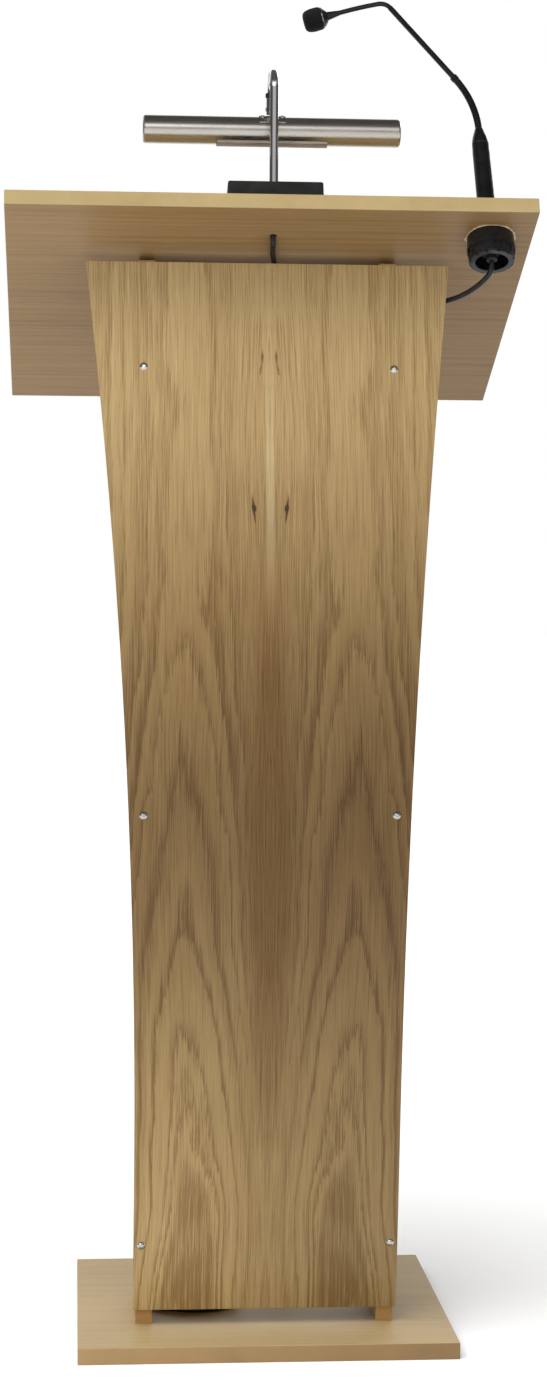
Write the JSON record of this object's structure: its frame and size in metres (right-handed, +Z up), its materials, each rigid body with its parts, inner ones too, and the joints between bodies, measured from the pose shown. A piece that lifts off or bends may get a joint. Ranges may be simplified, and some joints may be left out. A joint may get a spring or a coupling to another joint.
{
  "type": "presentation lectern",
  "caption": "Oak lectern with a bowed, waisted front panel on slim uprights, a sloping reading board, a swan-neck picture-style lamp and a gooseneck microphone.",
  "frame": {"origin": "floor level at the middle of the lectern's footprint as seen from above", "axes": "+X to the right as the audience sees it, +Y from the audience to the speaker, +Z up"},
  "size_m": [0.6, 0.4617, 1.5656],
  "materials": {
    "oak_board": "clear lacquered oak veneer with solid lipping",
    "oak_panel": "clear lacquered book-matched oak veneer",
    "rail_wood": "satin",
    "zinc_steel": "zinc plated",
    "polished_screw": "polished",
    "polished_tube": "polished",
    "nickel": "nickel plated",
    "brushed_tube": "fine circumferential satin",
    "black_abs": "fine texture",
    "felt_pad": "felt",
    "rocker_black": "gloss",
    "mount_black": "moulded, semi matt",
    "black_rubber": "matt",
    "mic_black": "satin black",
    "mic_band_grey": "satin black",
    "ring_silver": "bright",
    "foam": "open-cell foam",
    "contact_pins": "plated",
    "frosted_lens": "frosted",
    "light_glass": "phosphor coated",
    "cable_black": "matt PVC",
    "lead_black": "matt PVC",
    "connector_shell": "black plated"
  },
  "bodies": {
    "lectern": {"base_board": "oak_board", "reading_board": "oak_board", "page_stop": "oak_board", "left_fin": "oak_board", "right_fin": "oak_board", "front_panel": "oak_panel", "panel_screws": "polished_screw", "low_rail": "rail_wood", "top_rail": "rail_wood", "angle_brackets": "zinc_steel", "bracket_screws": "zinc_steel", "base_screws": "zinc_steel", "rail_screws": "zinc_steel", "lamp_block": "black_abs", "lamp_pad": "felt_pad", "lamp_neck": "polished_tube", "neck_collar": "polished_tube", "lamp_bush": "black_abs", "switch_frame": "black_abs", "lead_sleeve": "black_abs", "mount_cup": "mount_black", "mount_rubber": "black_rubber", "mount_ring_nut": "mount_black", "mount_insert": "mount_black", "mount_gland": "black_rubber", "cable_grommet": "black_abs", "mic_cable": "cable_black", "mic_cable_coil": "cable_black", "cable_connector": "connector_shell", "connector_latch": "connector_shell", "lamp_lead": "lead_black", "lamp_lead_coil": "lead_black", "lead_plug": "lead_black", "plug_pins": "contact_pins"},
    "lamp_swivel": {"lamp_knuckle": "nickel", "hinge_pin": "nickel"},
    "lamp_head": {"lamp_saddle": "brushed_tube", "saddle_screws": "nickel", "lamp_shade": "brushed_tube", "shade_cap_left": "brushed_tube", "shade_cap_right": "brushed_tube", "light_tube": "light_glass", "light_holders": "black_abs", "lamp_diffuser": "frosted_lens"},
    "lamp_rocker": {"switch_rocker": "rocker_black"},
    "release_latch": {"mount_latch": "mount_black"},
    "mic_stem": {"mic_base": "mic_black", "mic_pins": "contact_pins", "mic_band": "mic_band_grey", "mic_dome": "mic_black", "lower_flex": "black_rubber"},
    "mic_arm": {"arm_collar": "mic_black", "mic_arm": "mic_black", "upper_flex": "black_rubber"},
    "mic_head": {"head_neck": "mic_black", "head_housing": "mic_black", "head_ring": "ring_silver", "windscreen": "foam"}
  },
  "joints": [
    {"name": "lamp_swivel", "type": "hinge", "parent": "lectern", "child": "lamp_swivel", "pos_m": [0.004, -0.09417, 1.416], "axis": [0, 0, 1], "range_deg": [-40, 40]},
    {"name": "lamp_tilt", "type": "hinge", "parent": "lamp_swivel", "child": "lamp_head", "pos_m": [0.004, -0.09417, 1.416], "axis": [1, 0, 0], "range_deg": [-10, 60]},
    {"name": "lamp_switch", "type": "hinge", "parent": "lectern", "child": "lamp_rocker", "pos_m": [0.038, -0.13821, 1.30539], "axis": [1, 0, 0], "range_deg": [-16, 0]},
    {"name": "mic_release", "type": "slide", "parent": "lectern", "child": "release_latch", "axis": [0.0314, -0.4065, -0.9131], "range_m": [0, 0.0014], "stiffness_N_per_m": 400, "springref_m": -0.0006},
    {"name": "mic_unplug", "type": "slide", "parent": "lectern", "child": "mic_stem", "axis": [-0.0314, 0.4065, 0.9131], "range_m": [0, 0.06]},
    {"name": "mic_lower_bend", "type": "hinge", "parent": "mic_stem", "child": "mic_arm", "pos_m": [0.23972, -0.06624, 1.43233], "axis": [-0.2078, -0.8962, 0.3919], "range_deg": [-35, 20], "deforming": ["lower_flex"]},
    {"name": "mic_upper_bend", "type": "hinge", "parent": "mic_arm", "child": "mic_head", "pos_m": [0.14174, 0.01293, 1.56142], "axis": [-0.2078, -0.8962, 0.3919], "range_deg": [-45, 30], "deforming": ["upper_flex"]}
  ]
}
